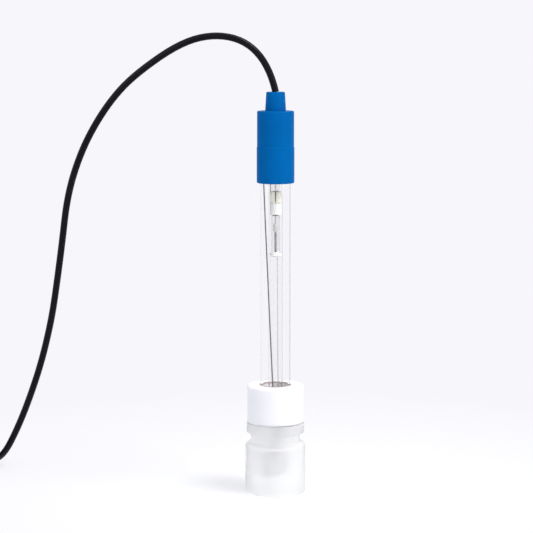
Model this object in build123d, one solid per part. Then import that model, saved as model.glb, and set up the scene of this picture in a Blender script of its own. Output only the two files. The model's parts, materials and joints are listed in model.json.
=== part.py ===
from build123d import *

import math
import os

# A glass combination pH electrode, standing in its storage bottle, with its coaxial lead and bayonet plug.
# Millimetres, +Z up. The origin is the centre of the bottle's foot, and the electrode stands on the Z axis.

# Storage bottle, blown in one piece
bottle_wall = 1.2
bottle_floor = 1.4
body_d = 24.3
body_height = 20.9
foot_round = 1.4
foot_rim = 4.0
foot_recess = 0.6
shoulder_round = 0.9
waist_d = body_d - 4.5
waist_height = 3.7
flange_d = body_d - 1.1
flange_height = 3.9
flange_round = 0.5
neck_d = 17.9
neck_height = 10.5
neck_bore_d = 14.8
solution_level = 16.0
solution_gap = 0.05

# Screw thread between the bottle's neck and the screw cap, right-handed
thread_pitch = 3.0
thread_turns = 1.5
thread_height = 0.8
thread_root = 1.7
thread_crest = 0.7
thread_gap = 0.3
thread_start = 2.2
thread_sink = 0.2

# Screw cap with its wiper ring, and the sealing ring and washer under its plate
cap_wall = 1.3
cap_plate = 2.0
cap_skirt_gap = 0.5
cap_round = 0.9
ring_d = 18.0
ring_thickness = 2.0
wiper_width = 0.3
wiper_height = 0.65
wiper_proud = 0.15
washer_thickness = 1.0
turning_gap = 0.1
sliding_gap = 0.05

# Glass body: outer tube, ring seal and inner stem, fused in one piece
shaft_d = 12.0
shaft_wall = 0.6
shaft_length = 120.0
shaft_in_grip = 18.0
tip_gap = 4.0
stem_d = 5.8
stem_wall = 0.5
stem_in_grip = 10.6
foot_bend = 2.4
neck_length = 1.0
bulb_d = 9.8
bulb_wall = 0.35
frit_d = 1.0
frit_height = 13.6

# Inner element, measured down from the lower edge of the blue grip
bead_d = 3.6
bead_below = 3.4
bead_length = 8.4
plug_height = 4.4
plug_slit_top = 0.6
plug_slit_foot = 0.28
disc_height = 1.9
disc_groove = 0.35
disc_groove_depth = 0.7
wool_height = 2.7
inner_gap = 0.05
capsule_d = 3.6
capsule_wall = 0.45
capsule_length = 15.2
capsule_plug_height = 1.6
contact_wire_d = 0.5
contact_eye_d = 0.9
powder_d = 1.9
powder_height = 3.0
powder_below = 3.9
element_rod_d = 0.95
element_rod_length = 7.4
stub_wire_d = 0.36
stub_ball_d = 0.6
stub_offset = 2.08
inner_wire_d = 0.3
inner_wire_top_x = 0.75
inner_wire_foot_x = 1.3
inner_wire_foot = 9.5

# Reference wire, straight and slanted between the outer tube and the stem, then upright in the grip
reference_wire_d = 0.5
reference_foot_over_tip = 16.6
reference_bend_in_grip = 0.6
reference_foot_place = (-0.1, -4.52)
reference_bend_place = (-4.77, 0.03)
reference_in_grip = 11.6
reference_bend_radius = 20.0
centring_ring_height = 4.0
centring_ring_in_grip = 4.6

# Blue moulded grip with its tapered cable nipple
grip_d = 15.0
grip_height = 14.0
grip_upper_d = 14.7
grip_upper_height = 14.6
grip_step = 0.5
grip_round = 0.5
nipple_foot_d = 8.3
nipple_top_d = 7.4
nipple_height = 7.5
nipple_round = 0.4
grip_roof = 2.6
potting_d = 10.8
cable_in_grip = 7.5
dielectric_d = 1.6
dielectric_length = 5.0
core_wire_d = 0.5
solder_d = 1.3
screen_joint_r = 0.5
shield_wire_d = 0.4
shield_wire_x = -1.12

# Coaxial lead: its free run, its coil and its tail, all in one cable
cable_d = 2.8
bend_share = 0.45
run_points = (
    (-2.0, 0.0, 170.2),
    (-10.3, 0.5, 180.8),
    (-22.8, 1.0, 184.3),
    (-37.2, 2.5, 181.1),
    (-55.6, 5.0, 168.5),
    (-65.7, 7.0, 158.2),
    (-75.0, 10.0, 143.9),
    (-81.1, 13.0, 129.9),
    (-84.9, 16.0, 116.3),
    (-87.3, 20.0, 99.6),
    (-90.6, 24.0, 79.0),
    (-93.1, 27.0, 65.6),
    (-97.8, 31.0, 47.6),
    (-104.0, 35.0, 30.2),
    (-109.6, 37.0, 17.0),
    (-115.3, 41.6, 6.3),
    (-120.8, 48.7, 1.5),
)
coil_centre = (-143.0, 42.5)
coil_outer_r = 21.0
coil_entry_angle = 40.0
coil_exit_angle = 160.0
coil_full_turns = 6
coil_layers = 2
coil_lift = 0.5
coil_edge = 1.2
tie_width = 3.0
tie_thickness = 0.45
tie_side_gap = 0.2
tie_angle = 90.0
tail_points = (
    (-164.6, 44.5, 4.9),
    (-167.2, 37.4, 7.25),
)

# Bayonet plug, described from the rear of its boot forwards
plug_rear = (-167.2, 33.4)
boot_taper_length = 15.0
boot_rear_d = 4.6
boot_front_d = 8.6
boot_grooves = 4
boot_groove_width = 1.1
boot_groove_depth = 0.7
jacket_in_boot = 11.0
spigot_d = 3.5
spigot_length = 8.0
ferrule_wall = 0.6
ferrule_length = 7.5
collar_d = 9.4
collar_length = 3.4
barrel_d = 9.6
barrel_length = 11.0
sleeve_d = 8.1
sleeve_bore_d = 6.9
sleeve_length = 11.5
sleeve_root_d = 9.0
plug_core_bore_d = 1.7
insulator_length = 9.0
insulator_boss_d = 4.8
insulator_boss_length = 3.5
pin_d = 1.37
pin_proud = 5.0
gasket_thickness = 1.2
gasket_wall = 0.45
circlip_d = 10.8
circlip_thickness = 0.8
circlip_depth = 0.4
circlip_from_front = 3.2
nut_d = 14.5
nut_gap = 0.08
nut_front_overhang = 0.4
nut_bore_d = 10.1
nut_flutes = 20
nut_flute_d = 1.2
nut_flute_length = 8.0
nut_round = 0.5
lug_slot_width = 2.3
lug_slot_depth = 0.7
lug_entry_length = 3.4
lug_slot_rise = 2.6
lug_slot_turn = 80.0

# Heights that follow from the sizes above
waist_top = body_height + waist_height
flange_top = waist_top + flange_height
neck_top = flange_top + neck_height
ring_foot = neck_top + washer_thickness
plate_foot = ring_foot + ring_thickness
cap_top = plate_foot + cap_plate
cap_foot = flange_top + cap_skirt_gap
tip_height = bottle_floor + tip_gap
grip_foot = tip_height + shaft_length
grip_step_height = grip_foot + grip_height
grip_top = grip_step_height + grip_upper_height
exit_height = grip_top + nipple_height
glass_top = grip_foot + shaft_in_grip
stem_top = grip_foot + stem_in_grip
potting_top = grip_top - grip_roof
bulb_centre = tip_height + bulb_d / 2
bead_foot = grip_foot - bead_below
bead_top = bead_foot + bead_length
plug_foot = bead_foot - plug_height
disc_foot = plug_foot - disc_height
wool_foot = disc_foot - inner_gap - wool_height
capsule_top = wool_foot - inner_gap
capsule_foot = capsule_top - capsule_length
capsule_plug_foot = capsule_foot - capsule_plug_height
powder_top = capsule_top - powder_below
powder_foot = powder_top - powder_height
reference_foot = (*reference_foot_place, tip_height + reference_foot_over_tip)
reference_bend = (*reference_bend_place, grip_foot + reference_bend_in_grip)

# Radii that follow
shaft_r = shaft_d / 2
shaft_bore_r = shaft_r - shaft_wall
stem_r = stem_d / 2
stem_bore_r = stem_r - stem_wall
cable_r = cable_d / 2
neck_r = neck_d / 2
cap_bore_r = neck_r + thread_height + thread_gap
cap_r = cap_bore_r + cap_wall
ring_bore_r = shaft_r + sliding_gap
wiper_r = ring_bore_r + wiper_width
wiper_top = cap_top + wiper_proud
wiper_foot = wiper_top - wiper_height
stem_neck_foot = bulb_centre + math.sqrt((bulb_d / 2) ** 2 - stem_r ** 2)
seal_foot = stem_neck_foot + neck_length


def turned(*corners):
    """A solid of revolution about Z from the (radius, height, rounding) corners of a half section."""
    points = [(corner[0], 0, corner[1]) for corner in corners]
    rounds = [corner[2] if len(corner) > 2 else 0 for corner in corners]
    outline = FilletPolyline(*points, radius=rounds, close=True)
    return revolve(make_face(outline), Axis.Z)


def rod(diameter, foot, top, x=0.0, y=0.0):
    """An upright round rod or hole between two heights."""
    return Pos(x, y, (foot + top) / 2) * Cylinder(diameter / 2, top - foot)


def tube_along(points, diameter, radii):
    """A round tube along straight runs joined by tangent arcs."""
    path = FilletPolyline(*points, radius=radii)
    face = Plane(origin=path @ 0, z_dir=path % 0) * Circle(diameter / 2)
    return sweep(face, path)


def bend_radii(points):
    """The largest arc at each corner that its two runs allow."""
    radii = []
    for before, here, after in zip(points, points[1:], points[2:]):
        run_in = Vector(*here) - Vector(*before)
        run_out = Vector(*after) - Vector(*here)
        half_turn = math.radians(run_in.get_angle(run_out)) / 2
        radii.append(bend_share * min(run_in.length, run_out.length) / math.tan(half_turn))
    return radii


def thread_ridge(root_radius, outward, middle):
    """One helical ridge whose middle starts at a height on the +X side and rises as it turns."""
    side = 1 if outward else -1
    path = Helix(thread_pitch, thread_pitch * thread_turns, root_radius, center=(0, 0, middle))
    half_root = thread_root / 2
    half_crest = thread_crest / 2
    sunk = root_radius - side * thread_sink
    crest = root_radius + side * thread_height
    outline = Polyline(
        (sunk, 0, middle - half_root),
        (root_radius, 0, middle - half_root),
        (crest, 0, middle - half_crest),
        (crest, 0, middle + half_crest),
        (root_radius, 0, middle + half_root),
        (sunk, 0, middle + half_root),
        close=True,
    )
    return sweep(make_face(outline), path, is_frenet=True)


# Bottle

def storage_bottle():
    """Translucent bottle: rounded body, waist, transfer flange and threaded neck."""
    body_r = body_d / 2
    inner_r = body_r - bottle_wall
    bore_r = neck_bore_d / 2
    shoulder = body_height - (body_d - waist_d) / 2 * math.tan(math.radians(25))
    blank = turned(
        (0, foot_recess),
        (body_r - foot_rim - foot_recess, foot_recess),
        (body_r - foot_rim, 0),
        (body_r, 0, foot_round),
        (body_r, shoulder, shoulder_round),
        (waist_d / 2, body_height, shoulder_round / 2),
        (waist_d / 2, waist_top, flange_round),
        (flange_d / 2, waist_top, flange_round),
        (flange_d / 2, flange_top, flange_round),
        (neck_r, flange_top),
        (neck_r, neck_top, flange_round),
        (0, neck_top),
    )
    hollow = turned(
        (0, bottle_floor),
        (inner_r, bottle_floor, foot_round - bottle_wall / 2),
        (inner_r, shoulder - bottle_wall, shoulder_round),
        (bore_r, body_height - bottle_wall / 2, shoulder_round),
        (bore_r, neck_top),
        (0, neck_top),
    )
    return blank + thread_ridge(neck_r, True, flange_top + thread_start) - hollow


def storage_solution():
    """Storage solution round the shaft and the bulb, up to its level in the bottle."""
    inner_r = body_d / 2 - bottle_wall - solution_gap
    fill = turned(
        (0, bottle_floor + solution_gap),
        (inner_r, bottle_floor + solution_gap, foot_round - bottle_wall / 2),
        (inner_r, solution_level),
        (0, solution_level),
    )
    bulb_space = bulb_d / 2 + solution_gap
    shaft_space = shaft_r + solution_gap
    fill -= Pos(0, 0, bulb_centre) * Sphere(bulb_space)
    fill -= rod(2 * shaft_space, bulb_centre, neck_top)
    return fill


def bottle_cap():
    """White screw cap with a hole for the shaft and an inside thread."""
    shell = turned(
        (cap_bore_r, cap_foot),
        (cap_r, cap_foot, cap_round / 3),
        (cap_r, cap_top, cap_round),
        (wiper_r + sliding_gap, cap_top),
        (wiper_r + sliding_gap, wiper_foot),
        (ring_bore_r + turning_gap, wiper_foot),
        (ring_bore_r + turning_gap, plate_foot),
        (cap_bore_r, plate_foot),
    )
    return shell + thread_ridge(cap_bore_r, False, flange_top + thread_start + thread_pitch / 2)


def sealing_ring():
    """Rubber ring clamped under the cap's plate, which grips the shaft."""
    top = plate_foot - sliding_gap
    return rod(ring_d, ring_foot, top) - rod(2 * ring_bore_r, ring_foot, top)


def wiper_ring():
    """Thin brown ring in the top of the screw cap, which shows round the shaft."""
    return turned(
        (ring_bore_r, wiper_foot),
        (wiper_r, wiper_foot),
        (wiper_r, wiper_top, wiper_width / 3),
        (ring_bore_r, wiper_top),
    )


def seal_washer():
    """Plain washer between the neck's rim and the sealing ring."""
    washer = rod(ring_d, neck_top, ring_foot)
    return washer - rod(2 * (ring_bore_r + turning_gap), neck_top, ring_foot)


# Glass

def frit_hole(diameter, inner, outer):
    """A radial pin or hole through the foot of the outer tube, towards -Y."""
    middle = (inner + outer) / 2
    place = Plane(origin=(0, -middle, tip_height + frit_height), z_dir=(0, -1, 0))
    return place * Cylinder(diameter / 2, outer - inner)


def glass_body():
    """Outer tube, ring seal and inner stem as one glass wall, with a hole for the junction."""
    seal_top = seal_foot + shaft_wall
    wall = turned(
        (stem_bore_r, stem_neck_foot),
        (stem_r, stem_neck_foot),
        (stem_r, seal_foot, 0.4 * neck_length),
        (shaft_r, seal_foot, foot_bend),
        (shaft_r, glass_top, shaft_wall / 3),
        (shaft_bore_r, glass_top),
        (shaft_bore_r, seal_top, foot_bend - shaft_wall),
        (stem_r, seal_top, shaft_wall / 2),
        (stem_r, stem_top),
        (stem_bore_r, stem_top),
    )
    return wall - frit_hole(frit_d, shaft_bore_r - shaft_wall, shaft_r + shaft_wall)


def ph_bulb():
    """Thin round membrane, open at the top where it joins the stem's neck."""
    shell = Sphere(bulb_d / 2) - Sphere(bulb_d / 2 - bulb_wall)
    bulb = Pos(0, 0, bulb_centre) * shell
    return bulb - rod(bulb_d, stem_neck_foot, stem_neck_foot + bulb_d)


def junction_frit():
    """Porous ceramic pin in the outer tube's wall."""
    pin = frit_hole(frit_d, shaft_bore_r - inner_gap, shaft_r + shaft_wall)
    return pin & rod(shaft_d, tip_height, grip_foot)


# Inner element

def contact_hole(foot, top):
    return rod(contact_wire_d + inner_gap, foot, top)


def glass_bead():
    """Glass bead that seals the contact wire, with a round foot."""
    half = bead_d / 2
    bead = turned((0, bead_foot), (half, bead_foot, half * 0.98), (half, bead_top), (0, bead_top))
    return bead - contact_hole(bead_foot, bead_top)


def contact_wire():
    """Wire from the solder joint through the bead and the plugs to the capsule's powder."""
    wire = rod(contact_wire_d, powder_foot + powder_height / 2, bead_top + solder_d)
    eye = Pos(0, 0, capsule_top + contact_eye_d / 2 + inner_gap) * Sphere(contact_eye_d / 2)
    return wire + eye


def stem_plug():
    """Yellow silicone plug that the bead stands on, slit from the front so that it slips over the wire."""
    slit = Polyline(
        (-plug_slit_foot / 2, plug_foot),
        (plug_slit_foot / 2, plug_foot),
        (plug_slit_top / 2, bead_foot),
        (-plug_slit_top / 2, bead_foot),
        close=True,
    )
    plug = rod(2 * (stem_bore_r - inner_gap), plug_foot, bead_foot) - contact_hole(plug_foot, bead_foot)
    return plug - extrude(Plane.XZ * make_face(slit), stem_r)


def stem_disc():
    """White disc under the yellow plug, with a groove round its top."""
    half = stem_bore_r - inner_gap
    hole_r = (contact_wire_d + inner_gap) / 2
    return turned(
        (hole_r, disc_foot),
        (half, disc_foot),
        (half, plug_foot - disc_groove),
        (half - disc_groove_depth, plug_foot - disc_groove),
        (half - disc_groove_depth, plug_foot),
        (hole_r, plug_foot),
    )


def stem_wool():
    """White wool packed over the capsule, with room for the wire's eye."""
    packing = rod(2 * (stem_bore_r - inner_gap), wool_foot, disc_foot - inner_gap)
    packing -= contact_hole(wool_foot, disc_foot)
    return packing - rod(contact_eye_d + 2 * inner_gap, wool_foot, wool_foot + contact_eye_d + inner_gap)


def stub_wire():
    """Short wire with a ball end, beside the bead."""
    ball_r = stub_ball_d / 2
    wire = rod(stub_wire_d, bead_foot + ball_r, stem_top - 1.0, x=-stub_offset)
    ball_x = -(stem_bore_r - ball_r - inner_gap)
    return wire + Pos(ball_x, 0, bead_foot + ball_r) * Sphere(ball_r)


def element_capsule():
    """Small glass capsule, shouldered at the top and open below, that holds the inner element."""
    outer = capsule_d / 2
    inner = outer - capsule_wall
    wire_space = contact_wire_d / 2 + inner_gap
    return turned(
        (inner, capsule_foot),
        (outer, capsule_foot),
        (outer, capsule_top, outer / 2),
        (wire_space, capsule_top),
        (wire_space, capsule_top - capsule_wall),
        (inner, capsule_top - capsule_wall, inner / 2),
    )


def element_powder():
    """Silver salt packed round the end of the contact wire."""
    packing = rod(powder_d, powder_foot, powder_top)
    return packing - contact_hole(powder_foot + powder_height / 2 - inner_gap, powder_top)


def element_rod():
    """Dark coated rod under the powder, standing on the capsule's plug."""
    top = powder_foot - inner_gap
    return turned(
        (0, capsule_foot),
        (element_rod_d / 2, capsule_foot),
        (element_rod_d / 2, capsule_foot + element_rod_length, element_rod_d / 6),
        (element_rod_d / 4, top),
        (0, top),
    )


def capsule_plug():
    """White wool plug that closes the capsule's foot."""
    half = stem_bore_r - inner_gap
    return turned(
        (0, capsule_plug_foot),
        (half, capsule_plug_foot, 0.5),
        (half, capsule_foot),
        (0, capsule_foot),
    )


def inner_wire():
    """Thin wire that hangs in the stem down to the bulb."""
    top = (inner_wire_top_x, 0, capsule_plug_foot)
    foot = (inner_wire_foot_x, 0, inner_wire_foot)
    path = Line(top, foot)
    return sweep(Plane(origin=top, z_dir=path % 0) * Circle(inner_wire_d / 2), path)


# Reference side

def reference_route(top):
    return [reference_foot, reference_bend, (reference_bend[0], reference_bend[1], top)]


def reference_wire():
    """Reference wire, slanted across the stem and upright in the grip."""
    route = reference_route(grip_foot + reference_in_grip)
    return tube_along(route, reference_wire_d, [reference_bend_radius])


def centring_ring():
    """Ring that centres the stem in the outer tube, with a hole for the reference wire."""
    foot = grip_foot + centring_ring_in_grip
    top = foot + centring_ring_height
    ring = rod(2 * (shaft_bore_r - inner_gap), foot, top) - rod(stem_d + 2 * inner_gap, foot, top)
    hole = tube_along(reference_route(glass_top), reference_wire_d + 2 * inner_gap, [reference_bend_radius])
    return ring - hole


# Grip and the end of the cable inside it

def grip():
    """Blue moulding: socket for the glass, cavity for the potting, and tapered cable nipple."""
    lower_r = grip_d / 2
    upper_r = grip_upper_d / 2
    shell = turned(
        (shaft_r + inner_gap, grip_foot),
        (lower_r, grip_foot, grip_round),
        (lower_r, grip_step_height),
        (upper_r, grip_step_height + grip_step),
        (upper_r, grip_top, grip_round),
        (nipple_foot_d / 2, grip_top),
        (nipple_top_d / 2, exit_height, nipple_round),
        (cable_r + inner_gap, exit_height, nipple_round / 2),
        (cable_r + inner_gap, potting_top),
        (potting_d / 2, potting_top, grip_round),
        (potting_d / 2, glass_top),
        (shaft_r + inner_gap, glass_top),
    )
    return shell


def cable_stub():
    """End of the cable's jacket in the nipple, up to where it leaves."""
    return rod(cable_d, exit_height - nipple_height - cable_in_grip, exit_height)


def cable_dielectric():
    """White insulation of the core, bared below the jacket."""
    top = grip_top - cable_in_grip
    return rod(dielectric_d, top - dielectric_length, top)


def core_wire():
    """Bared core, down to the solder joint over the bead."""
    return rod(core_wire_d, bead_top + solder_d, grip_top - cable_in_grip - dielectric_length)


def shield_route():
    jacket_foot = grip_top - cable_in_grip
    reference_top = grip_foot + reference_in_grip
    bend_x = reference_bend[0]
    bend_y = reference_bend[1]
    return [
        (shield_wire_x, 0, jacket_foot),
        (shield_wire_x, 0, jacket_foot - dielectric_length / 2),
        (bend_x, bend_y, reference_top + dielectric_length / 2),
        (bend_x, bend_y, reference_top),
    ]


def shield_wire():
    """Twisted screen of the cable, led across to the reference wire."""
    route = shield_route()
    return tube_along(route, shield_wire_d, [shield_wire_d * 1.5, shield_wire_d * 1.5])


def solder_joints():
    """Two drops of solder: core to contact wire, and screen to reference wire."""
    core_joint = Pos(0, 0, bead_top + solder_d) * Sphere(solder_d / 2)
    core_joint -= rod(max(core_wire_d, contact_wire_d), bead_top, bead_top + 2 * solder_d)
    reference_top = grip_foot + reference_in_grip
    place = Pos(reference_bend[0] + 0.15, reference_bend[1], reference_top)
    screen_joint = place * Sphere(screen_joint_r)
    wires = rod(reference_wire_d, grip_foot, reference_top, reference_bend[0], reference_bend[1])
    wires += rod(shield_wire_d, reference_top, glass_top, reference_bend[0], reference_bend[1])
    screen_joint -= wires
    return Compound(children=[core_joint.solid(), screen_joint.solid()])


def cap_potting():
    """Resin that fills the grip over the glass and holds the cable."""
    fill = turned(
        (0, glass_top),
        (potting_d / 2 - inner_gap, glass_top),
        (potting_d / 2 - inner_gap, potting_top - inner_gap, grip_round),
        (0, potting_top - inner_gap),
    )
    jacket_foot = grip_top - cable_in_grip
    fill -= rod(cable_d + 2 * inner_gap, jacket_foot, potting_top)
    fill -= rod(dielectric_d + 2 * inner_gap, glass_top, jacket_foot)
    route = shield_route()
    return fill - tube_along(route, shield_wire_d + 2 * inner_gap, [shield_wire_d * 1.5] * 2)


# Lead

coil_turns = (coil_full_turns + (coil_exit_angle - coil_entry_angle) / 360) / coil_layers


def on_outer_turn(angle, height):
    """A point of the coil's outer turn, at an angle from +X."""
    x = coil_centre[0] + coil_outer_r * math.cos(math.radians(angle))
    y = coil_centre[1] + coil_outer_r * math.sin(math.radians(angle))
    return (x, y, height)


def run_route():
    """The free run: out of the nipple, over to the left and down onto the surface, into the coil."""
    coil_entry = on_outer_turn(coil_entry_angle, coil_lift + cable_r)
    return [(0, 0, exit_height), *run_points, coil_entry]


def tail_route():
    """From the coil's outer turn to the rear of the plug's boot, and into it."""
    coil_exit = on_outer_turn(coil_exit_angle, coil_lift + cable_d + cable_r)
    jacket_end = (plug_rear[0], plug_rear[1] - jacket_in_boot, nut_d / 2)
    return [coil_exit, *tail_points, jacket_end]


def cable_run():
    route = run_route()
    return tube_along(route, cable_d, bend_radii(route))


def cable_tail():
    route = tail_route()
    return tube_along(route, cable_d, bend_radii(route))


def coil_inner_r():
    return coil_outer_r - cable_d * coil_turns


def cable_coil():
    """The closed outer shape of the coil's turns, in two layers."""
    foot = coil_lift
    top = coil_lift + coil_layers * cable_d
    ring = turned(
        (coil_inner_r() - cable_r, foot, coil_edge),
        (coil_outer_r + cable_r, foot, coil_edge),
        (coil_outer_r + cable_r, top, coil_edge),
        (coil_inner_r() - cable_r, top, coil_edge),
    )
    return Pos(coil_centre[0], coil_centre[1], 0) * ring


def coil_tie():
    """Thin band round the coil's turns at one side."""
    middle_r = (coil_outer_r + coil_inner_r()) / 2
    width = coil_outer_r - coil_inner_r() + cable_d + 2 * tie_side_gap
    height = coil_layers * cable_d + 2 * (coil_lift - tie_thickness)
    place = Pos(coil_centre[0], coil_centre[1], 0) * Rot(0, 0, tie_angle)
    section = Plane.XZ.offset(-tie_width / 2)
    middle = (middle_r, coil_lift + coil_layers * cable_r)
    outer = Pos(*middle) * RectangleRounded(width + 2 * tie_thickness, height + 2 * tie_thickness, coil_edge)
    inner = Pos(*middle) * RectangleRounded(width, height, coil_edge)
    band = extrude(section * (outer - inner), tie_width)
    return place * band


# Bayonet plug, built upright from the rear of its boot and then laid down

def on_plug(shape):
    """Lays a piece of the plug down, with its nose towards -Y."""
    place = Plane(origin=(plug_rear[0], plug_rear[1], nut_d / 2), x_dir=(1, 0, 0), z_dir=(0, -1, 0))
    return place * shape


collar_foot = jacket_in_boot + spigot_length
barrel_foot = collar_foot + collar_length
barrel_front = barrel_foot + barrel_length
plug_front = barrel_front + sleeve_length
circlip_foot = barrel_front - circlip_from_front
insulator_foot = barrel_front - insulator_length
spigot_r = spigot_d / 2
ferrule_r = spigot_r + inner_gap + ferrule_wall
barrel_r = barrel_d / 2
sleeve_r = sleeve_d / 2
sleeve_bore_r = sleeve_bore_d / 2
nut_r = nut_d / 2


def plug_boot():
    """Black bend relief over the ferrule, with ring grooves round its thin end."""
    rear_r = boot_rear_d / 2
    front_r = boot_front_d / 2
    ferrule_foot = collar_foot - ferrule_length
    boot = turned(
        (cable_r + inner_gap, 0),
        (rear_r, 0, 0.4),
        (front_r, boot_taper_length, 1.0),
        (front_r, collar_foot, 0.6),
        (ferrule_r + inner_gap, collar_foot),
        (ferrule_r + inner_gap, ferrule_foot),
        (cable_r + inner_gap, ferrule_foot - 1.0),
    )
    taper = (front_r - rear_r) / boot_taper_length
    for step in range(boot_grooves):
        height = (2 * step + 1.5) * boot_groove_width
        floor_r = rear_r + taper * height - boot_groove_depth
        boot -= turned(
            (floor_r, height),
            (front_r, height),
            (front_r, height + boot_groove_width),
            (floor_r, height + boot_groove_width),
        )
    return on_plug(boot)


def crimp_ferrule():
    """Plain sleeve crimped over the spigot."""
    foot = collar_foot - ferrule_length
    return on_plug(rod(2 * ferrule_r, foot, collar_foot) - rod(spigot_d + 2 * inner_gap, foot, collar_foot))


def plug_body():
    """Turned body: spigot, collar, barrel with a groove for the circlip, and contact sleeve."""
    core_r = plug_core_bore_d / 2
    body = turned(
        (core_r, jacket_in_boot),
        (spigot_r, jacket_in_boot),
        (spigot_r, collar_foot),
        (collar_d / 2, collar_foot, 0.3),
        (collar_d / 2, barrel_foot),
        (barrel_r, barrel_foot),
        (barrel_r, circlip_foot),
        (barrel_r - circlip_depth, circlip_foot),
        (barrel_r - circlip_depth, circlip_foot + circlip_thickness),
        (barrel_r, circlip_foot + circlip_thickness),
        (barrel_r, barrel_front, 0.2),
        (sleeve_root_d / 2, barrel_front),
        (sleeve_root_d / 2, barrel_front + gasket_thickness),
        (sleeve_r, barrel_front + gasket_thickness),
        (sleeve_r, plug_front, 0.2),
        (sleeve_bore_r, plug_front),
        (sleeve_bore_r, insulator_foot),
        (core_r, insulator_foot),
    )
    return on_plug(body)


def plug_insulator():
    """White insulator with a boss that carries the pin."""
    bore_r = pin_d / 2 + inner_gap
    half = sleeve_bore_r - inner_gap
    return on_plug(turned(
        (bore_r, insulator_foot),
        (half, insulator_foot),
        (half, barrel_front),
        (insulator_boss_d / 2, barrel_front),
        (insulator_boss_d / 2, barrel_front + insulator_boss_length, 0.3),
        (bore_r, barrel_front + insulator_boss_length),
    ))


def centre_pin():
    """Gilt centre contact with a rounded nose."""
    top = barrel_front + insulator_boss_length + pin_proud
    half = pin_d / 2
    return on_plug(turned((0, insulator_foot), (half, insulator_foot), (half, top, half * 0.9), (0, top)))


def plug_gasket():
    """Soft ring at the foot of the contact sleeve."""
    top = barrel_front + gasket_thickness
    gasket = rod(sleeve_root_d + 2 * gasket_wall, barrel_front, top)
    return on_plug(gasket - rod(sleeve_root_d + 2 * inner_gap, barrel_front, top))


def circlip():
    """Open spring ring that keeps the coupling nut on the barrel."""
    top = circlip_foot + circlip_thickness
    ring = rod(circlip_d, circlip_foot, top) - rod(barrel_d - 2 * circlip_depth, circlip_foot, top)
    gap = Pos(circlip_d / 2, 0, (circlip_foot + top) / 2) * Box(circlip_d / 2, circlip_thickness, circlip_d)
    return on_plug(ring - gap)


def lug_slot(start_angle):
    """One bayonet slot: a straight entry from the front, then a rising ramp to a round seat."""
    slot_r = nut_bore_d / 2 + lug_slot_depth
    depth = 2 * lug_slot_depth
    front = plug_front + nut_front_overhang
    entry_foot = front - lug_entry_length
    steps = 8
    slot = Pos(slot_r, 0, (entry_foot + front) / 2) * Box(2 * depth, lug_slot_width, lug_entry_length + 0.2)
    hole = Pos(slot_r, 0, 0) * Rot(0, 90, 0) * Cylinder(lug_slot_width / 2, 2 * depth)
    for step in range(steps + 1):
        share = step / steps
        slot += Rot(0, 0, -lug_slot_turn * share) * Pos(0, 0, entry_foot - lug_slot_rise * share) * hole
    seat = Pos(nut_r, 0, entry_foot - lug_slot_rise) * Rot(0, 90, 0) * Cylinder(lug_slot_width / 2, nut_d / 3)
    slot += Rot(0, 0, -lug_slot_turn) * seat
    return Rot(0, 0, start_angle) * slot


def coupling_nut():
    """Bayonet nut that turns on the barrel: fluted grip, and two slots for the socket's lugs."""
    rear = barrel_foot + 0.3
    front = plug_front + nut_front_overhang
    clip_space = circlip_d / 2 + 2 * nut_gap
    bore_r = nut_bore_d / 2
    run_r = barrel_r + nut_gap
    nut = turned(
        (run_r, rear),
        (nut_r, rear, nut_round),
        (nut_r, front, nut_round),
        (bore_r, front, nut_round / 2),
        (bore_r, circlip_foot + 2.5 * circlip_thickness),
        (clip_space, circlip_foot + 2.5 * circlip_thickness),
        (clip_space, circlip_foot - nut_gap),
        (run_r, circlip_foot - nut_gap),
    )
    flute = rod(nut_flute_d, rear + 2 * nut_round, rear + 2 * nut_round + nut_flute_length, x=nut_r)
    for step in range(nut_flutes):
        nut -= Rot(0, 0, 360 * step / nut_flutes) * flute
    nut -= lug_slot(0)
    nut -= lug_slot(180)
    return on_plug(nut)


PARTS = (
    storage_bottle, storage_solution, bottle_cap, wiper_ring, sealing_ring, seal_washer,
    glass_body, ph_bulb, junction_frit,
    glass_bead, contact_wire, stem_plug, stem_disc, stem_wool, stub_wire,
    element_capsule, element_powder, element_rod, capsule_plug, inner_wire,
    reference_wire, centring_ring,
    grip, cap_potting, cable_stub, cable_dielectric, core_wire, shield_wire, solder_joints,
    cable_run, cable_coil, cable_tail, coil_tie,
    plug_boot, crimp_ferrule, plug_body, plug_insulator, centre_pin, plug_gasket, circlip, coupling_nut,
)

os.makedirs("parts", exist_ok=True)
for make in PARTS:
    export_step(make(), f"parts/{make.__name__}.step")

for name, route in (("run", run_route()), ("tail", tail_route())):
    print(name, "radii", [round(radius, 1) for radius in bend_radii(route)])
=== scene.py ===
import json
import math

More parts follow.
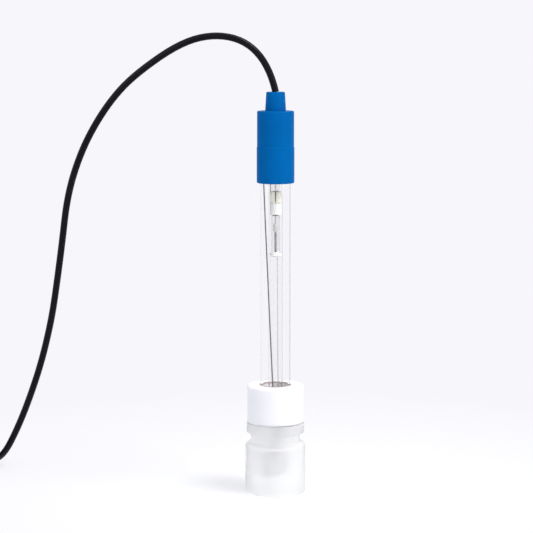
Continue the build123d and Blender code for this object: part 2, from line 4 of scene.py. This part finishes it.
import bmesh
import bpy
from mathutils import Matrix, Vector


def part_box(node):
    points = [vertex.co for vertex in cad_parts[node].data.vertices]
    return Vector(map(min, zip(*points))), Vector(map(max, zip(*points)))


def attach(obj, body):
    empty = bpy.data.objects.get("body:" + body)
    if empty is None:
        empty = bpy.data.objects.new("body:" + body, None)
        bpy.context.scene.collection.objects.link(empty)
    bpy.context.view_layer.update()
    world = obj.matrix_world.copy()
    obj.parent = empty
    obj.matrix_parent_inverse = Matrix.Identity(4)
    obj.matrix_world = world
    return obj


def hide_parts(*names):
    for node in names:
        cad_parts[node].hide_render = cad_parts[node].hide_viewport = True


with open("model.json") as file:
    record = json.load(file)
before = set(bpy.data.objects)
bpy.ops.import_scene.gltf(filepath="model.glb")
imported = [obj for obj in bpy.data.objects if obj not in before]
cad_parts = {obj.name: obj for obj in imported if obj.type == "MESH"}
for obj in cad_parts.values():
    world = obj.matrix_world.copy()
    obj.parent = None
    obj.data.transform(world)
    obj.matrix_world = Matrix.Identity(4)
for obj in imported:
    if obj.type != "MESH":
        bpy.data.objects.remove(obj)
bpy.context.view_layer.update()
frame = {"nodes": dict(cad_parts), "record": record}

# A glass pH electrode in its storage bottle. Metres, +Z up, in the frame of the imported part.

MM = 0.001
nodes = frame["nodes"]


def top_of(node):
    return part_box(node)[1][2]


# Camera: level with the top of the grip and looking a little down on the bottle
IMAGE_PIXELS = 533
CAMERA_PLACE = (-3.6 * MM, -765 * MM, 189.6 * MM)
NEAR_CLIP = 0.01
FAR_CLIP = 50
CAMERA_PITCH = math.radians(7.28)
PIXELS_PER_TANGENT = 1928
SENSOR = 36.0


def make_camera():
    data = bpy.data.cameras.new("camera")
    data.sensor_fit = "HORIZONTAL"
    data.sensor_width = SENSOR
    data.lens = PIXELS_PER_TANGENT * SENSOR / IMAGE_PIXELS
    data.clip_start = NEAR_CLIP
    data.clip_end = FAR_CLIP
    camera = bpy.data.objects.new("camera", data)
    camera.location = CAMERA_PLACE
    camera.rotation_euler = (math.pi / 2 - CAMERA_PITCH, 0, 0)
    bpy.context.scene.collection.objects.link(camera)
    bpy.context.scene.camera = camera


# Depths of the surface relief, and how far light spreads inside the whites
SKIN_DEPTH = 0.02 * MM
FROST_DEPTH = 0.03 * MM
RIPPLE_DEPTH = 0.1 * MM
STRAND_DEPTH = 0.1 * MM
PLASTIC_SPREAD = 1.5 * MM
BOTTLE_SPREAD = 2 * MM
BOTTLE_SHADOW_SHARE = 0.85
GLASS_EDGE_TINT = (0.5, 0.52, 0.52, 1)


# Node helpers

def new_material(name):
    material = bpy.data.materials.new(name)
    material.use_nodes = True
    tree = material.node_tree
    shader = tree.nodes["Principled BSDF"]
    return material, tree, shader


def add_node(tree, kind, **values):
    """A node with its properties and its inputs set by name."""
    node = tree.nodes.new(kind)
    for key, value in values.items():
        if hasattr(node, key):
            setattr(node, key, value)
        else:
            node.inputs[key.replace("_", " ")].default_value = value
    return node


def noise(tree, scale, detail=3.0, stretch=(1, 1, 1)):
    """Noise in object space, with features of about 1/scale metres."""
    coordinates = add_node(tree, "ShaderNodeTexCoord")
    mapping = add_node(tree, "ShaderNodeMapping", Scale=stretch)
    texture = add_node(tree, "ShaderNodeTexNoise", Scale=scale, Detail=detail)
    tree.links.new(coordinates.outputs["Object"], mapping.inputs["Vector"])
    tree.links.new(mapping.outputs["Vector"], texture.inputs["Vector"])
    return texture


def vary(tree, shader, socket, texture, low, high):
    """Drives a shader input between two values or colours by a noise texture."""
    ramp = add_node(tree, "ShaderNodeValToRGB")
    elements = ramp.color_ramp.elements
    elements[0].position = 0.3
    elements[1].position = 0.7
    elements[0].color = (*low, 1) if isinstance(low, tuple) else (low, low, low, 1)
    elements[1].color = (*high, 1) if isinstance(high, tuple) else (high, high, high, 1)
    tree.links.new(texture.outputs["Fac"], ramp.inputs["Fac"])
    tree.links.new(ramp.outputs["Color"], shader.inputs[socket])


def bump(tree, shader, texture, strength, distance):
    node = add_node(tree, "ShaderNodeBump", Strength=strength, Distance=distance)
    tree.links.new(texture.outputs["Fac"], node.inputs["Height"])
    tree.links.new(node.outputs["Normal"], shader.inputs["Normal"])


def pass_light(tree, shader, share):
    """Lets the lamps light what is inside a piece: this share of a shadow ray goes on."""
    out = tree.nodes["Material Output"]
    path = add_node(tree, "ShaderNodeLightPath")
    open_wall = add_node(tree, "ShaderNodeBsdfTransparent", Color=(share, share, share, 1))
    mix = add_node(tree, "ShaderNodeMixShader")
    tree.links.new(path.outputs["Is Shadow Ray"], mix.inputs[0])
    tree.links.new(shader.outputs[0], mix.inputs[1])
    tree.links.new(open_wall.outputs[0], mix.inputs[2])
    tree.links.new(mix.outputs[0], out.inputs["Surface"])


def plastic(name, low, high, roughness, grain=4000, bump_strength=0.15,
            specular=0.5, subsurface=0.0):
    """Moulded plastic: faint colour drift, uneven gloss and a fine skin."""
    material, tree, shader = new_material(name)
    vary(tree, shader, "Base Color", noise(tree, 90), low, high)
    vary(tree, shader, "Roughness", noise(tree, 400), roughness - 0.04, roughness + 0.04)
    bump(tree, shader, noise(tree, grain, 2.0), bump_strength, SKIN_DEPTH)
    shader.inputs["Specular IOR Level"].default_value = specular
    if subsurface:
        shader.inputs["Subsurface Weight"].default_value = subsurface
        shader.inputs["Subsurface Radius"].default_value = (1, 1, 1)
        shader.inputs["Subsurface Scale"].default_value = PLASTIC_SPREAD
    return material


def translucent_rubber(name, low, high, roughness, share):
    """Silicone that lets part of the light through."""
    material = plastic(name, low, high, roughness)
    tree = material.node_tree
    pass_light(tree, tree.nodes["Principled BSDF"], share)
    return material


def metal(name, low, high, roughness):
    """Metal with fine uneven polish."""
    material, tree, shader = new_material(name)
    vary(tree, shader, "Base Color", noise(tree, 300), low, high)
    vary(tree, shader, "Roughness", noise(tree, 900, 4.0), roughness - 0.06, roughness + 0.08)
    bump(tree, shader, noise(tree, 900, 4.0), 0.08, SKIN_DEPTH)
    shader.inputs["Metallic"].default_value = 1.0
    return material


def clear(name, colour, roughness, ior, ripple=0.0, density=0.0):
    """Clear glass or liquid with a faint waviness, a little darker where it is seen along its wall."""
    material, tree, shader = new_material(name)
    shader.inputs["Base Color"].default_value = (*colour, 1)
    shader.inputs["Transmission Weight"].default_value = 1.0
    shader.inputs["Roughness"].default_value = roughness
    shader.inputs["IOR"].default_value = ior
    if ripple:
        bump(tree, shader, noise(tree, 60, 1.0, (1, 1, 0.1)), ripple, RIPPLE_DEPTH)
    pass_light(tree, shader, 1.0)
    if density:
        body = add_node(tree, "ShaderNodeVolumeAbsorption", Color=GLASS_EDGE_TINT, Density=density)
        tree.links.new(body.outputs[0], tree.nodes["Material Output"].inputs["Volume"])
    return material


def frosted(name, colour, roughness, transmission, ior):
    """Translucent moulded plastic with a slightly grained skin."""
    material, tree, shader = new_material(name)
    shader.inputs["Base Color"].default_value = (*colour, 1)
    shader.inputs["Transmission Weight"].default_value = transmission
    shader.inputs["IOR"].default_value = ior
    vary(tree, shader, "Roughness", noise(tree, 300), roughness - 0.05, roughness + 0.05)
    bump(tree, shader, noise(tree, 1500, 2.0), 0.1, FROST_DEPTH)
    pass_light(tree, shader, BOTTLE_SHADOW_SHARE)
    shader.inputs["Subsurface Weight"].default_value = 0.4
    shader.inputs["Subsurface Radius"].default_value = (1, 1, 1)
    shader.inputs["Subsurface Scale"].default_value = BOTTLE_SPREAD
    shader.inputs["Coat Weight"].default_value = 0.35
    shader.inputs["Coat Roughness"].default_value = 0.18
    return material


def fibre(name, low, high):
    """Packed white wool."""
    material, tree, shader = new_material(name)
    strands = noise(tree, 2500, 5.0, (1, 1, 3))
    vary(tree, shader, "Base Color", strands, low, high)
    bump(tree, shader, strands, 0.6, STRAND_DEPTH)
    shader.inputs["Roughness"].default_value = 0.9
    return material


def make_materials():
    return {
        "bottle_plastic": frosted("bottle_plastic", (0.97, 0.97, 0.967), 0.5, 0.7, 1.12),
        "solution": clear("solution", (0.985, 0.985, 0.98), 0.0, 1.33),
        "cap_plastic": plastic("cap_plastic", (0.91, 0.905, 0.94), (0.93, 0.925, 0.96), 0.4,
                               specular=0.3, subsurface=0.3),
        "seal_rubber": translucent_rubber("seal_rubber", (0.46, 0.33, 0.31), (0.54, 0.39, 0.37),
                                          0.6, 0.92),
        "white_plastic": plastic("white_plastic", (0.86, 0.86, 0.84), (0.92, 0.92, 0.9), 0.45),
        "clear_glass": clear("clear_glass", (1.0, 1.0, 1.0), 0.0, 1.4, 0.02, density=25),
        "bead_glass": clear("bead_glass", (1.0, 1.0, 1.0), 0.12, 1.2, density=60),
        "capsule_glass": clear("capsule_glass", (1.0, 1.0, 1.0), 0.0, 1.3, density=90),
        "bulb_glass": clear("bulb_glass", (0.96, 0.98, 0.985), 0.0, 1.5),
        "frit_ceramic": plastic("frit_ceramic", (0.7, 0.66, 0.6), (0.82, 0.78, 0.72), 0.85, 6000, 0.5),
        "silver_wire": metal("silver_wire", (0.5, 0.49, 0.48), (0.62, 0.61, 0.6), 0.35),
        "dark_wire": metal("dark_wire", (0.1, 0.1, 0.095), (0.17, 0.165, 0.16), 0.45),
        "yellow_silicone": plastic("yellow_silicone", (0.82, 0.8, 0.66), (0.88, 0.86, 0.74), 0.4,
                                   subsurface=0.3),
        "white_wool": fibre("white_wool", (0.8, 0.8, 0.79), (0.94, 0.94, 0.93)),
        "silver_salt": fibre("silver_salt", (0.5, 0.5, 0.5), (0.8, 0.8, 0.8)),
        "coated_rod": plastic("coated_rod", (0.16, 0.16, 0.165), (0.26, 0.26, 0.27), 0.6, 5000, 0.4),
        "grip_plastic": plastic("grip_plastic", (0.0, 0.112, 0.365), (0.0, 0.122, 0.4), 0.42,
                                specular=0.02),
        "potting_resin": plastic("potting_resin", (0.03, 0.03, 0.035), (0.05, 0.05, 0.055), 0.3),
        "cable_jacket": plastic("cable_jacket", (0.002, 0.002, 0.004), (0.004, 0.004, 0.007), 0.27,
                                3000, 0.15, 0.11),
        "bare_copper": metal("bare_copper", (0.68, 0.36, 0.22), (0.8, 0.47, 0.32), 0.3),
        "solder": metal("solder", (0.6, 0.6, 0.6), (0.75, 0.75, 0.75), 0.25),
        "tie_plastic": plastic("tie_plastic", (0.02, 0.02, 0.02), (0.035, 0.035, 0.035), 0.5),
        "boot_rubber": plastic("boot_rubber", (0.01, 0.01, 0.011), (0.018, 0.018, 0.02), 0.55),
        "nickel": metal("nickel", (0.62, 0.6, 0.56), (0.72, 0.7, 0.66), 0.24),
        "gilt_contact": metal("gilt_contact", (0.82, 0.58, 0.22), (0.9, 0.68, 0.32), 0.22),
        "spring_wire": metal("spring_wire", (0.42, 0.42, 0.42), (0.55, 0.55, 0.55), 0.35),
    }


def dress_nodes(materials):
    """Gives every node of the part the material of its slot."""
    for row in frame["record"]["subparts"]:
        piece = nodes[row["node"]]
        for slot in piece.material_slots:
            slot.material = materials[row["material_slot"]]
    for name, slot_name in (("glass_bead", "bead_glass"), ("element_capsule", "capsule_glass")):
        for slot in nodes[name].material_slots:
            slot.material = materials[slot_name]


# Lead: the route's points are those of the part
CABLE_D = 2.8 * MM
EXIT = (0.0, 0.0, top_of("grip"))
RUN_POINTS_MM = (
    (-2.0, 0.0, 170.2),
    (-10.3, 0.5, 180.8),
    (-22.8, 1.0, 184.3),
    (-37.2, 2.5, 181.1),
    (-55.6, 5.0, 168.5),
    (-65.7, 7.0, 158.2),
    (-75.0, 10.0, 143.9),
    (-81.1, 13.0, 129.9),
    (-84.9, 16.0, 116.3),
    (-87.3, 20.0, 99.6),
    (-90.6, 24.0, 79.0),
    (-93.1, 27.0, 65.6),
    (-97.8, 31.0, 47.6),
    (-104.0, 35.0, 30.2),
    (-109.6, 37.0, 17.0),
    (-115.3, 41.6, 6.3),
    (-120.8, 48.7, 1.5),
)
TAIL_POINTS_MM = (
    (-164.6, 44.5, 4.9),
    (-167.2, 37.4, 7.25),
)
JACKET_END_MM = (-167.2, 22.4, 7.25)
COIL_CENTRE_MM = (-143.0, 42.5)
COIL_OUTER_R_MM = 21.0
COIL_ENTRY_ANGLE = 40.0
COIL_EXIT_ANGLE = 160.0
COIL_FULL_TURNS = 6
COIL_LIFT_MM = 0.5
CLIMB_TURNS = 0.5
STEPS_PER_TURN = 18


def coil_points():
    """Two layers of turns: inwards on the surface, then outwards on top of them."""
    points = []
    pitch = CABLE_D / MM
    all_turns = COIL_FULL_TURNS + (COIL_EXIT_ANGLE - COIL_ENTRY_ANGLE) / 360
    steps = round(all_turns * STEPS_PER_TURN)
    for step in range(steps + 1):
        turns = step / STEPS_PER_TURN
        inward = min(turns, all_turns - turns)
        radius = COIL_OUTER_R_MM - pitch * inward
        climb = min(max((turns - all_turns / 2) / CLIMB_TURNS + 0.5, 0), 1)
        climb = climb * climb * (3 - 2 * climb)
        height = COIL_LIFT_MM + pitch * (0.5 + climb)
        angle = math.radians(COIL_ENTRY_ANGLE) + 2 * math.pi * turns
        x = COIL_CENTRE_MM[0] + radius * math.cos(angle)
        y = COIL_CENTRE_MM[1] + radius * math.sin(angle)
        points.append((x, y, height))
    return points


def make_lead(materials):
    """The whole lead as one curve: free run, coil and tail."""
    route = [*RUN_POINTS_MM, *coil_points(), *TAIL_POINTS_MM, JACKET_END_MM]
    points = [EXIT] + [tuple(MM * value for value in point) for point in route]
    data = bpy.data.curves.new("lead", "CURVE")
    data.dimensions = "3D"
    spline = data.splines.new("NURBS")
    spline.points.add(len(points) - 1)
    for target, point in zip(spline.points, points):
        target.co = (*point, 1)
    spline.order_u = 3
    spline.use_endpoint_u = True
    spline.resolution_u = 6
    data.bevel_depth = CABLE_D / 2
    data.bevel_resolution = 5
    data.use_fill_caps = True
    data.materials.append(materials["cable_jacket"])
    lead = bpy.data.objects.new("lead", data)
    bpy.context.scene.collection.objects.link(lead)
    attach(lead, "electrode")
    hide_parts("cable_run", "cable_coil", "cable_tail")


# Studio: pale floor that runs into a pale surround, and soft lamps
PALE = (0.93, 0.922, 0.965)
FLOOR_RADIUS = 12.0
FLOOR_FADE = 0.22
FLOOR_COLOUR = (0.82, 0.82, 0.84, 1)
FLOOR_SHOWN = (0.58, 0.58, 0.59, 1)
FLOOR_GLOW = (0.38, 0.38, 0.39, 1)
WORLD_LIGHT = (0.93, 0.94, 1.0, 1)
WORLD_STRENGTH = 0.52
CARD_DIRECTION = (0.9, 0.42, 0.1)
CARD_COLOUR = (0.25, 0.25, 0.26, 1)
CARD_OUTER = 0.8
CARD_INNER = 0.95

# Lamps: name, place, diameter, watts, colour
LAMP_TARGET = (0, 0, 0.08)
LAMPS = (
    ("key", (0.5, -0.35, 1.05), 0.5, 7.2, (1, 1, 1)),
    ("side", (0.95, -0.6, 0.35), 0.7, 2.6, (1, 1, 1)),
    ("fill", (-0.8, -0.8, 0.7), 1.2, 4.1, (0.95, 0.97, 1.0)),
    ("top", (0.1, 0.3, 1.1), 0.8, 2.0, (1, 1, 1)),
)


def seen_directly(tree):
    """1 for camera, glossy and transmission rays, which see the surround."""
    path = add_node(tree, "ShaderNodeLightPath")
    outer = add_node(tree, "ShaderNodeMath", operation="MAXIMUM")
    through = add_node(tree, "ShaderNodeMath", operation="MAXIMUM")
    tree.links.new(path.outputs["Is Camera Ray"], outer.inputs[0])
    tree.links.new(path.outputs["Is Glossy Ray"], outer.inputs[1])
    tree.links.new(outer.outputs[0], through.inputs[0])
    tree.links.new(path.outputs["Is Transmission Ray"], through.inputs[1])
    return through.outputs[0]


def dark_card(tree, shown):
    """A dim card at the right, which only the glass shows, as a line along its edge."""
    card = add_node(tree, "ShaderNodeBackground", Color=CARD_COLOUR, Strength=1.0)
    place = add_node(tree, "ShaderNodeTexCoord")
    facing = add_node(tree, "ShaderNodeVectorMath", operation="DOT_PRODUCT")
    facing.inputs[1].default_value = CARD_DIRECTION
    edge = add_node(tree, "ShaderNodeMapRange", interpolation_type="SMOOTHSTEP")
    edge.inputs["From Min"].default_value = CARD_OUTER
    edge.inputs["From Max"].default_value = CARD_INNER
    path = add_node(tree, "ShaderNodeLightPath")
    share = add_node(tree, "ShaderNodeMath", operation="MULTIPLY")
    mix = add_node(tree, "ShaderNodeMixShader")
    tree.links.new(place.outputs["Generated"], facing.inputs[0])
    tree.links.new(facing.outputs["Value"], edge.inputs["Value"])
    tree.links.new(edge.outputs["Result"], share.inputs[0])
    tree.links.new(path.outputs["Is Transmission Ray"], share.inputs[1])
    tree.links.new(share.outputs[0], mix.inputs[0])
    tree.links.new(shown.outputs[0], mix.inputs[1])
    tree.links.new(card.outputs[0], mix.inputs[2])
    return mix.outputs[0]


def make_world():
    world = bpy.data.worlds.new("surround")
    bpy.context.scene.world = world
    world.use_nodes = True
    tree = world.node_tree
    out = tree.nodes["World Output"]
    light = tree.nodes["Background"]
    light.inputs["Color"].default_value = WORLD_LIGHT
    light.inputs["Strength"].default_value = WORLD_STRENGTH
    shown = add_node(tree, "ShaderNodeBackground", Color=(*PALE, 1), Strength=1.0)
    mix = add_node(tree, "ShaderNodeMixShader")
    seen = seen_directly(tree)
    tree.links.new(seen, mix.inputs[0])
    tree.links.new(light.outputs[0], mix.inputs[1])
    tree.links.new(dark_card(tree, shown), mix.inputs[2])
    tree.links.new(mix.outputs[0], out.inputs["Surface"])


def make_floor():
    mesh = bpy.data.meshes.new("floor")
    bm = bmesh.new()
    bmesh.ops.create_circle(bm, cap_ends=True, radius=FLOOR_RADIUS, segments=96)
    bm.to_mesh(mesh)
    bm.free()
    floor = bpy.data.objects.new("floor", mesh)
    bpy.context.scene.collection.objects.link(floor)
    material, tree, shader = new_material("floor")
    shader.inputs["Base Color"].default_value = FLOOR_COLOUR
    shader.inputs["Roughness"].default_value = 0.9
    out = tree.nodes["Material Output"]
    thin = add_node(tree, "ShaderNodeBsdfDiffuse", Color=FLOOR_SHOWN)
    glow = add_node(tree, "ShaderNodeEmission", Color=FLOOR_GLOW, Strength=1.0)
    lit = add_node(tree, "ShaderNodeAddShader")
    far = add_node(tree, "ShaderNodeEmission", Color=(*PALE, 1), Strength=1.0)
    blend = add_node(tree, "ShaderNodeMixShader")
    chosen = add_node(tree, "ShaderNodeMixShader")
    place = add_node(tree, "ShaderNodeTexCoord")
    length = add_node(tree, "ShaderNodeVectorMath", operation="LENGTH")
    fade = add_node(tree, "ShaderNodeMapRange", interpolation_type="LINEAR")
    fade.inputs["From Min"].default_value = 0.0
    fade.inputs["From Max"].default_value = FLOOR_FADE
    seen = seen_directly(tree)
    tree.links.new(place.outputs["Object"], length.inputs[0])
    tree.links.new(length.outputs["Value"], fade.inputs["Value"])
    tree.links.new(thin.outputs[0], lit.inputs[0])
    tree.links.new(glow.outputs[0], lit.inputs[1])
    tree.links.new(fade.outputs["Result"], blend.inputs[0])
    tree.links.new(lit.outputs[0], blend.inputs[1])
    tree.links.new(far.outputs[0], blend.inputs[2])
    tree.links.new(seen, chosen.inputs[0])
    tree.links.new(shader.outputs[0], chosen.inputs[1])
    tree.links.new(blend.outputs[0], chosen.inputs[2])
    tree.links.new(chosen.outputs[0], out.inputs["Surface"])
    mesh.materials.append(material)


def area_lamp(name, place, size, watts, colour):
    data = bpy.data.lights.new(name, "AREA")
    data.shape = "DISK"
    data.size = size
    data.energy = watts
    data.color = colour
    lamp = bpy.data.objects.new(name, data)
    lamp.location = place
    lamp.rotation_euler = (Vector(LAMP_TARGET) - Vector(place)).to_track_quat("-Z", "Y").to_euler()
    bpy.context.scene.collection.objects.link(lamp)


def make_lights():
    for lamp in LAMPS:
        area_lamp(*lamp)


make_camera()
materials = make_materials()
dress_nodes(materials)
make_lead(materials)
make_world()
make_floor()
make_lights()
bpy.context.scene.view_settings.view_transform = "Standard"
